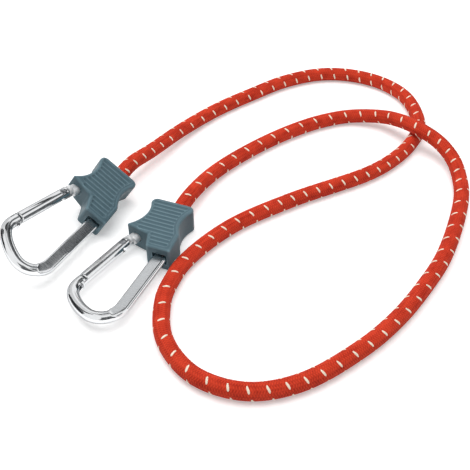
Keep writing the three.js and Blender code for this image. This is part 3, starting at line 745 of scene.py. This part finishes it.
def grip_blank(grip):
    """The outline raised to its thickness, with both rims rounded."""
    half = grip.thickness / 2 / MM
    sharp = math.radians(20)
    vertices, faces, _ = prism(grip_outline(), -half, half)
    bm = bmesh.new()
    points = [bm.verts.new(point) for point in vertices]
    for face in faces:
        bm.faces.new([points[corner] for corner in face])
    bm.normal_update()
    rims = [edge for edge in bm.edges if edge.verts[0].co.z == edge.verts[1].co.z]
    corners = [edge for edge in bm.edges if edge not in rims and edge.calc_face_angle() > sharp]
    bmesh.ops.bevel(bm, geom=rims + corners, offset=grip.edge / MM, segments=4, profile=0.5, affect="EDGES")
    bm.verts.index_update()
    vertices = [point.co.copy() for point in bm.verts]
    faces = [[point.index for point in face.verts] for face in bm.faces]
    bm.free()
    return vertices, faces, None


class BUNGEE_OT_grips(bpy.types.Operator):
    """Build the moulded grip on each end, ribbed on both faces"""
    bl_idname = "bungee.grips"
    bl_label = "Moulded grips"

    def execute(self, context):
        grip = settings("grip")
        material = moulded_polypropylene(grip)
        outline = grip_outline()
        half = grip.thickness / 2 / MM
        radius = grip.groove / MM
        depth = grip.groove_depth / MM
        # Each groove stops short of the rim, measured across its own width
        groove_places = [2.9 + 2.6 * groove for groove in range(12)]
        groove_half, gate_margin, spine_margin = 1.15, 1.1, 2.2
        # A finer line runs past the ends of the grooves on the spine side
        line_places = [2.2 + 0.8 * step for step in range(36)]
        line_margin, line_lift, line_radius = 2.3, 0.2, 0.5
        spout = block((32.9, 3.3, -3.1), (40, 10.9, 3.1))
        neck = moved(turned([(-9.9, 2.8), (-4, 2.8)]), NECK_IN_HOOK)
        bore = moved(turned([(-5, 4.45), (5.5, 4.45)]), Matrix.Translation((0, CORD_OFFSET, 0)))
        for end in ENDS:
            piece = build(f"moulded_grip_{end}", grip_blank(grip), hook_matrix(end), material)
            for face in (1, -1):
                height = face * (half - depth + radius)
                for x in groove_places:
                    lows, highs = zip(sides_at(outline, x - groove_half), sides_at(outline, x + groove_half))
                    low = (x, max(lows) + gate_margin, height)
                    high = (x, min(highs) - spine_margin, height)
                    combine(piece, bar_between(low, high, radius))
                line = [
                    Vector((x, sides_at(outline, x)[1] - line_margin, face * (half + line_lift)))
                    for x in line_places]
                combine(piece, skin(round_rings(line, line_radius), [0] * len(line)))
            for seat in (spout, neck, bore):
                combine(piece, seat)
            skinned = piece.modifiers.new("even_skin", "REMESH")
            skinned.mode = "VOXEL"
            skinned.voxel_size = 0.3 * MM
            softened = piece.modifiers.new("eased_edges", "SMOOTH")
            softened.factor = 0.5
            softened.iterations = 4
            # Tiny edges that the remesh leaves would show as specks in the painted highlights along the rims
            welded = piece.modifiers.new("welded", "WELD")
            welded.merge_threshold = 0.09 * MM
            apply_modifiers(piece)
            smooth(piece)
            settle(piece, ROOT, "grip_plastic", f"grip_upper_shell_{end}", f"grip_lower_shell_{end}")
        return {"FINISHED"}


# The carabiners

def turn_left(points, radius, start, stop):
    """Carries a path on round an arc to the left, from one heading to another."""
    x, y = points[-1][:2]
    centre = (x - radius * math.sin(start), y + radius * math.cos(start))
    fewest, degrees_to_a_step = 6, 4
    steps = max(fewest, round(math.degrees(stop - start) / degrees_to_a_step))
    bend = arc(centre, radius, start - math.pi / 2, stop - math.pi / 2, steps)
    points += [Vector((*place, 0)) for place in bend[1:]]


def bar_path():
    """The bar's middle line: nose, base, heel, spine, and back inside the grip to the hinge's collar."""
    heading = -GATE_ANGLE
    spine_heading = math.pi - SPINE_TILT
    # Radius of each bend, in order
    nose, base, heel, tail, neck = 9.0, 28.0, 10.5, 6.5, 5.5
    heel_y, tail_start = 5.6, 26.5
    # From the hinge pin along the gate: the bar's end at the latch, its first bend, and its end in the collar
    latch_end, nose_start, collar_end = 29, 32.2, -4.9
    points = [GATE_IN_HOOK @ Vector((x, 0, 0)) for x in (latch_end, nose_start)]
    corner = math.radians(45)
    rise = heel_y - points[-1].y - nose * (math.cos(heading) - math.cos(corner)) - base * math.cos(corner)
    heel_corner = math.acos((rise + heel * math.cos(spine_heading)) / (heel - base))
    turn_left(points, nose, heading, corner)
    turn_left(points, base, corner, heel_corner)
    turn_left(points, heel, heel_corner, spine_heading)
    points.append(Vector((SPINE_START, heel_y + (points[-1].x - SPINE_START) * math.tan(SPINE_TILT), 0)))
    points.append(Vector((tail_start, tail, 0)))
    turn_left(points, tail, math.pi, 1.5 * math.pi)
    tail_x = tail_start - tail
    tail_y = HINGE_Y + (neck + (HINGE_X - tail_x - neck) * math.sin(GATE_ANGLE)) / math.cos(GATE_ANGLE)
    points.append(Vector((tail_x, tail_y, 0)))
    turn_left(points, neck, 1.5 * math.pi, 2 * math.pi + heading)
    points.append(GATE_IN_HOOK @ Vector((collar_end, 0, 0)))
    return points


def eased(value, low, high):
    """0 below low, 1 above high, smooth between them."""
    share = min(max((value - low) / (high - low), 0), 1)
    return share * share * (3 - 2 * share)


def bar_shape(carabiner):
    """The bar swept along its path: round, pressed flat along the spine, thinner inside the grip."""
    round_radius = carabiner.bar / 2 / MM
    half_width = carabiner.flat_width / 2 / MM
    half_thick = carabiner.flat_thickness / 2 / MM
    # The press leaves the spine's outer side rounder than its inner side
    inner_edge, outer_edge = 0.9, 1.85
    # The bar's headings, in degrees, between which the flat and its width come in round the heel
    flat_headings, width_headings = (134, 141), (122, 168)
    # The flat ends at the mouth of the spout, and inside the grip the bar thins as it leaves the spine
    mouth, inside, thinning, tail_radius = (31.4, 32.4), 30, (-4, 2), 2
    end_chamfer, end_reach = 0.4, 0.5
    steps = 8
    points, places = even(bar_path(), spacing=0.45)
    rings = []
    for point, tangent, place in zip(points, tangents(points), places):
        left = Vector((-tangent.y, tangent.x, 0))
        heading = math.degrees(math.atan2(tangent.y, tangent.x))
        in_sight = eased(point.x, *mouth)
        pressed = eased(heading, *flat_headings) * in_sight
        spread = eased(heading, *width_headings) * in_sight
        thinned = eased(-point.y, *thinning) if point.x < inside else 0
        radius = round_radius + (tail_radius - round_radius) * thinned
        radius -= end_chamfer * (1 - eased(place, 0, end_reach))
        wide = radius + (half_width - radius) * spread
        ring = []
        for quarter in range(4):
            for step in range(steps):
                turn = math.radians(90 * (quarter + (step + 0.5) / steps))
                bend = math.radians(90 * (quarter + step / (steps - 1)))
                signs = ((1, 1), (-1, 1), (-1, -1), (1, -1))[quarter]
                edge = inner_edge if signs[0] > 0 else outer_edge
                across = signs[0] * (wide - edge) + edge * math.cos(bend)
                up = signs[1] * (half_thick - edge) + edge * math.sin(bend)
                a = radius * math.cos(turn) * (1 - pressed) + across * pressed
                b = radius * math.sin(turn) * (1 - pressed) + up * pressed
                ring.append(point + left * a + Vector((0, 0, b)))
        rings.append(ring)
    return skin(rings, [place / UV_LENGTH for place in places])


def tongue_outline():
    """The hinge tongue on the bar's end, with the cam that the plunger rides on."""
    root, radius, cam = -4.6, 2.2, 0.9
    return [
        (root, -radius), *arc((0, 0), radius, -math.pi / 2, 0, 10),
        *arc((0, cam), radius, 0, math.pi / 2, 10), (root, cam + radius)]


class BUNGEE_OT_carabiners(bpy.types.Operator):
    """Build the bent bar of each carabiner, with its collar, hinge tongue and slotted nose"""
    bl_idname = "bungee.carabiners"
    bl_label = "Carabiner bars"

    def execute(self, context):
        carabiner = settings("carabiner")
        polished = polished_aluminium(carabiner)
        pressed = pressed_aluminium(carabiner)
        # Aluminium that the polishing wheel can't reach, matt, and made partly white instead of a mirror: a
        # painted highlight that keeps the neck pale where it would mirror the dark grip
        pale_painted_neck = worked_metal(
            "aluminium_neck_painted_pale", carabiner.aluminium, roughness=(0.35, 0.5), spacing=1.2, metallic=0.4)
        pressed_slot, pale_painted_slot = 1, 2
        slot_side = [(26, 1.3), (30.5, 1.3), (30.5, 2.25), (32.6, 2.25)]
        slot = prism([(x, -z) for x, z in slot_side] + slot_side[::-1], -6, 6)
        # The end of the slot runs on into the inner side of the nose
        slot_end = block((32.4, -1.25, -6), (36.6, 1.25, -1.1))
        neck = turned([(-9.8, 2.35), (-9.3, 2.35), (-6, 2.35), (-5.5, 2.2)])
        collar = turned([(-6.2, 2.4), (-6.0, 2.6), (-5.7, 2.7), (-4.2, 2.7), (-3.9, 2.6), (-3.75, 2.4)])
        tongue = prism(tongue_outline(), -1, 1)
        # The part painted pale, from the hinge pin: between the grip and the gate, as wide as the neck
        neck_back, neck_front, neck_side = -10, -3.7, 4.2
        # The flat's faces look up or down by at least this much
        level = 0.98
        for end in ENDS:
            piece = build(f"carabiner_bar_{end}", bar_shape(carabiner), hook_matrix(end), polished)
            for cut in (slot, slot_end):
                combine(piece, moved(cut, GATE_IN_HOOK @ ON_EDGE))
            for part, place in ((neck, NECK_IN_HOOK), (collar, GATE_IN_HOOK), (tongue, GATE_IN_HOOK)):
                combine(piece, moved(part, place), "UNION")
            smooth(piece, angle=38)
            for finish in (pressed, pale_painted_neck):
                piece.data.materials.append(finish)
            for face in piece.data.polygons:
                on_spine = face.center.y > 0 and face.center.x > SPINE_START * MM
                from_pin = GATE_IN_HOOK.inverted() @ (face.center / MM)
                if neck_back < from_pin.x < neck_front and abs(from_pin.y) < neck_side:
                    face.material_index = pale_painted_slot
                elif on_spine and abs(face.normal.z) > level:
                    face.material_index = pressed_slot
            settle(piece, ROOT, "carabiner_aluminium", f"carabiner_body_{end}")
        return {"FINISHED"}


class BUNGEE_OT_gates(bpy.types.Operator):
    """Build the swinging gate of each carabiner, with its slotted heel and T-shaped latch"""
    bl_idname = "bungee.gates"
    bl_label = "Gates"

    def execute(self, context):
        carabiner = settings("carabiner")
        material = polished_aluminium(carabiner)
        radius = carabiner.gate / 2 / MM
        # Each place along the rod, and how far its face lies under the rod's radius there
        rod = turned([(x, radius - under) for x, under in (
            (-3.3, 0.5), (-3.15, 0.25), (-2.9, 0.06), (-2.6, 0), (-2.3, 0), (3.4, 0), (14, 0), (27.6, 0),
            (28.05, 0), (28.25, 0.1), (28.4, 0.35), (28.41, 0), (32.05, 0), (32.3, 0.25))])
        beside_latch = [(28.4, 1), (30.8, 1), (30.8, 1.95), (34, 1.95), (34, 4), (28.4, 4)]
        below_latch = [(x, -z) for x, z in reversed(beside_latch)]
        latch_end = [(30.95, 0), (32.15, 0), *arc((31.55, 3.2), 0.6, 0, math.pi, 10)]
        heel = [*arc((0, 0), 3.55, math.pi / 2, math.pi, 24), (-8, 0), (-8, 8), (0, 8)]
        slit = block((-9, -4, -1.3), (3.1, 4, 1.3))
        head, seat, beyond = 1.9, 1.95, 4
        rivet_seats = [
            moved(turned([(low, head), (high, head)], sides=32), UPRIGHT)
            for low, high in ((seat, beyond), (-beyond, -seat))]
        for end in ENDS:
            piece = build(f"gate_rod_{end}", rod, gate_matrix(end), material)
            for side in (beside_latch, below_latch):
                combine(piece, moved(prism(side, -4, 4), ON_EDGE))
            combine(piece, prism(latch_end, -1.85, 1.85), "UNION")
            for cut in (slit, prism(heel[::-1], -4, 4), *rivet_seats):
                combine(piece, cut)
            drop_slivers(piece)
            smooth(piece, angle=38)
            settle(piece, f"swinging_gate_{end}", "gate_aluminium", f"gate_{end}")
        return {"FINISHED"}


class BUNGEE_OT_rivets(bpy.types.Operator):
    """Build the peened rivet that each gate turns on"""
    bl_idname = "bungee.rivets"
    bl_label = "Hinge rivets"

    def execute(self, context):
        # Peened steel rivet: a low dome with hammer facets of about 0.5 mm
        steel = settings("carabiner").steel
        material = worked_metal("peened_steel_rivet", steel, roughness=(0.18, 0.34), spacing=0.5)
        head = [(2.25, 1.75), (2.5, 1.73), (2.66, 1.5), (2.76, 1.05), (2.81, 0.5), (2.82, 0.05)]
        profile = [(-x, radius) for x, radius in reversed(head)] + [(-2.24, 0.95), (2.24, 0.95)] + head
        shape = moved(turned(profile, sides=32), UPRIGHT)
        for end in ENDS:
            piece = build(f"peened_rivet_{end}", shape, gate_matrix(end), material)
            smooth(piece, angle=50)
            settle(piece, ROOT, "rivet_steel", f"hinge_rivet_{end}")
        return {"FINISHED"}


class BUNGEE_OT_inner_fittings(bpy.types.Operator):
    """Finish the fittings inside the grips and gates: ferrules, plungers and springs"""
    bl_idname = "bungee.inner_fittings"
    bl_label = "Inner fittings"

    def execute(self, context):
        carabiner = settings("carabiner")
        finishes = (
            # Zinc-plated sheet steel, crimped: dull, with a fine spangle
            ("cord_ferrule", "crimped_plated_steel", carabiner.steel, (0.36, 0.55), 0.8),
            # Turned steel pin: fine tool marks
            ("spring_plunger", "turned_steel_pin", carabiner.steel, (0.2, 0.36), 0.3),
            # Drawn spring wire: darker, with fine die marks
            ("gate_spring", "drawn_spring_wire", carabiner.spring, (0.28, 0.42), 0.2),
        )
        for kind, name, tone, roughness, spacing in finishes:
            material = worked_metal(name, tone, roughness, spacing)
            for end in ENDS:
                for place in frame["nodes"][f"{kind}_{end}"].material_slots:
                    place.material = material
        return {"FINISHED"}


# The stage

def lamp(name, place, aim, size, power):
    """A square softbox that faces a point, and that reflections don't show."""
    light = bpy.data.lights.new(name, "AREA")
    light.size = size
    light.energy = power
    holder = bpy.data.objects.new(name, light)
    holder.location = place
    holder.visible_glossy = False
    holder.rotation_euler = (Vector(aim) - Vector(place)).to_track_quat("-Z", "Y").to_euler()
    bpy.context.scene.collection.objects.link(holder)


def card(bearings, heights):
    """A card curved round the hooks, between two bearings and two heights in degrees."""
    reach, degrees_to_a_face = 1300, 6
    columns = round((bearings[1] - bearings[0]) / degrees_to_a_face)
    rows = max(2, round((heights[1] - heights[0]) / degrees_to_a_face))
    vertices = []
    for row in range(rows + 1):
        rise = math.radians(heights[0] + (heights[1] - heights[0]) * row / rows)
        for column in range(columns + 1):
            turn = math.radians(bearings[0] + (bearings[1] - bearings[0]) * column / columns)
            vertices.append(HOOKS + reach * Vector((
                math.cos(rise) * math.cos(turn), math.cos(rise) * math.sin(turn), math.sin(rise))))
    faces = []
    for row in range(rows):
        for column in range(columns):
            corner = row * (columns + 1) + column
            faces.append((corner, corner + 1, corner + columns + 2, corner + columns + 1))
    return vertices, faces, None


class BUNGEE_OT_stage(bpy.types.Operator):
    """Set the camera, the white floor, the sky, the lamps and the cards that the metal mirrors"""
    bl_idname = "bungee.stage"
    bl_label = "Camera, floor and lamps"

    def execute(self, context):
        stage = settings("stage")
        scene = context.scene
        scene.view_settings.view_transform = "Standard"
        camera = bpy.data.objects.new("camera", bpy.data.cameras.new("camera"))
        camera.data.lens = stage.lens
        camera.data.sensor_width = 36
        camera.data.clip_start = 0.01
        camera.location = CAMERA_PLACE
        camera.rotation_euler = (CAMERA_TILT, 0, CAMERA_TURN)
        scene.collection.objects.link(camera)
        scene.camera = camera

        reach, top, bottom = 3000, -0.3, -10.3
        slab = block((-reach, -reach, bottom), (reach, reach, top))
        floor = build("floor", slab, Matrix(), white_sweep(stage))

        world = bpy.data.worlds.new("white_studio")
        world.use_nodes = True
        tree = world.node_tree
        tree.nodes.clear()
        level = add_node(tree, "MapRange", {0: background_rays(tree), 3: stage.sky, 4: 1.0})
        sky = add_node(tree, "Background", {"Color": linear("#FFFFFF"), "Strength": level})
        add_node(tree, "OutputWorld", {"Surface": sky})
        scene.world = world

        dark = felt("charcoal_felt_card", stage.flag)
        grey = felt("grey_felt_card", stage.grey_card)
        white = felt("white_felt_card", linear("#FFFFFF"))
        cloth = scrim("silk_scrim", level=0.72)
        cards = [
            # Small cards beside hook a: one stands between the hooks, its back white, one lies above the grip
            ("hook_card", block((-3, -23.4, 4), (31, -23, 32)), grey),
            ("hook_card_back", block((-3, -22.8, 4), (31, -22.4, 32)), white),
            ("grip_card", block((-8, -72, 52), (2, -42, 52.4)), dark),
        ]
        for name, bearings, heights, material in (
                ("left_card", (-95, -52), (0.6, 36), dark),
                ("left_upper_card", (-92, -66), (36, 70), grey),
                ("left_back_scrim", (-140, -96), (16, 57), cloth),
                ("heel_scrim", (60, 86), (0.6, 20), cloth),
                ("top_scrim", (-180, 180), (77, 89), cloth),
                ("front_card", (10, 60), (0.6, 14), dark),
                ("camera_card", (15, 60), (14, 50), grey),
                ("right_card", (114, 156), (0.6, 17), dark),
                ("right_middle_card", (132, 157), (17, 42), dark),
                ("right_upper_card", (116, 166), (42, 58), grey),
                ("right_top_card", (116, 150), (58, 66), grey),
                ("heel_card", (68, 92), (20, 42), grey),
                ("back_card", (150, 240), (60, 77), dark)):
            cards.append((name, card(bearings, heights), material))
        for name, shape, material in cards:
            flag = build(name, shape, Matrix(), material)
            for rays in ("camera", "diffuse", "shadow", "transmission"):
                setattr(flag, f"visible_{rays}", False)

        # Both lamps face the middle of the loop
        middle = (-0.05, 0.04, 0)
        lamp("overhead_softbox", (-0.05, 0.0, 1.1), middle, size=0.9, power=stage.softbox_power)
        lamp("left_softbox", (-0.35, -0.75, 0.7), middle, size=0.5, power=stage.side_power)
        return {"FINISHED"}


class BUNGEE_PT_pieces(bpy.types.Panel):
    """Lists the pieces of the bungee cord and its stage"""
    bl_label = "Bungee cord"
    bl_idname = "BUNGEE_PT_pieces"
    bl_space_type = "VIEW_3D"
    bl_region_type = "UI"
    bl_category = "Bungee"

    def draw(self, context):
        for operator in OPERATORS:
            self.layout.operator(operator.bl_idname)
        for name, group in GROUPS.items():
            box = self.layout.box()
            box.label(text=name.title())
            for key in group.__annotations__:
                box.prop(settings(name), key)


GROUPS = {
    "cord": BungeeCordSettings,
    "grip": BungeeGripSettings,
    "carabiner": BungeeCarabinerSettings,
    "stage": BungeeStageSettings,
}
OPERATORS = (
    BUNGEE_OT_stage, BUNGEE_OT_cord, BUNGEE_OT_grips, BUNGEE_OT_carabiners, BUNGEE_OT_gates, BUNGEE_OT_rivets,
    BUNGEE_OT_inner_fittings,
)


def register():
    for group in GROUPS.values():
        bpy.utils.register_class(group)
    for name, group in GROUPS.items():
        setattr(bpy.types.Scene, f"bungee_{name}", bpy.props.PointerProperty(type=group))
    for operator in OPERATORS:
        bpy.utils.register_class(operator)
    bpy.utils.register_class(BUNGEE_PT_pieces)


def unregister():
    bpy.utils.unregister_class(BUNGEE_PT_pieces)
    for operator in reversed(OPERATORS):
        bpy.utils.unregister_class(operator)
    for name, group in GROUPS.items():
        delattr(bpy.types.Scene, f"bungee_{name}")
        bpy.utils.unregister_class(group)


def main():
    register()
    bpy.ops.bungee.stage()
    bpy.ops.bungee.cord()
    bpy.ops.bungee.grips()
    bpy.ops.bungee.carabiners()
    bpy.ops.bungee.gates()
    bpy.ops.bungee.rivets()
    bpy.ops.bungee.inner_fittings()


if __name__ == "__main__":
    main()
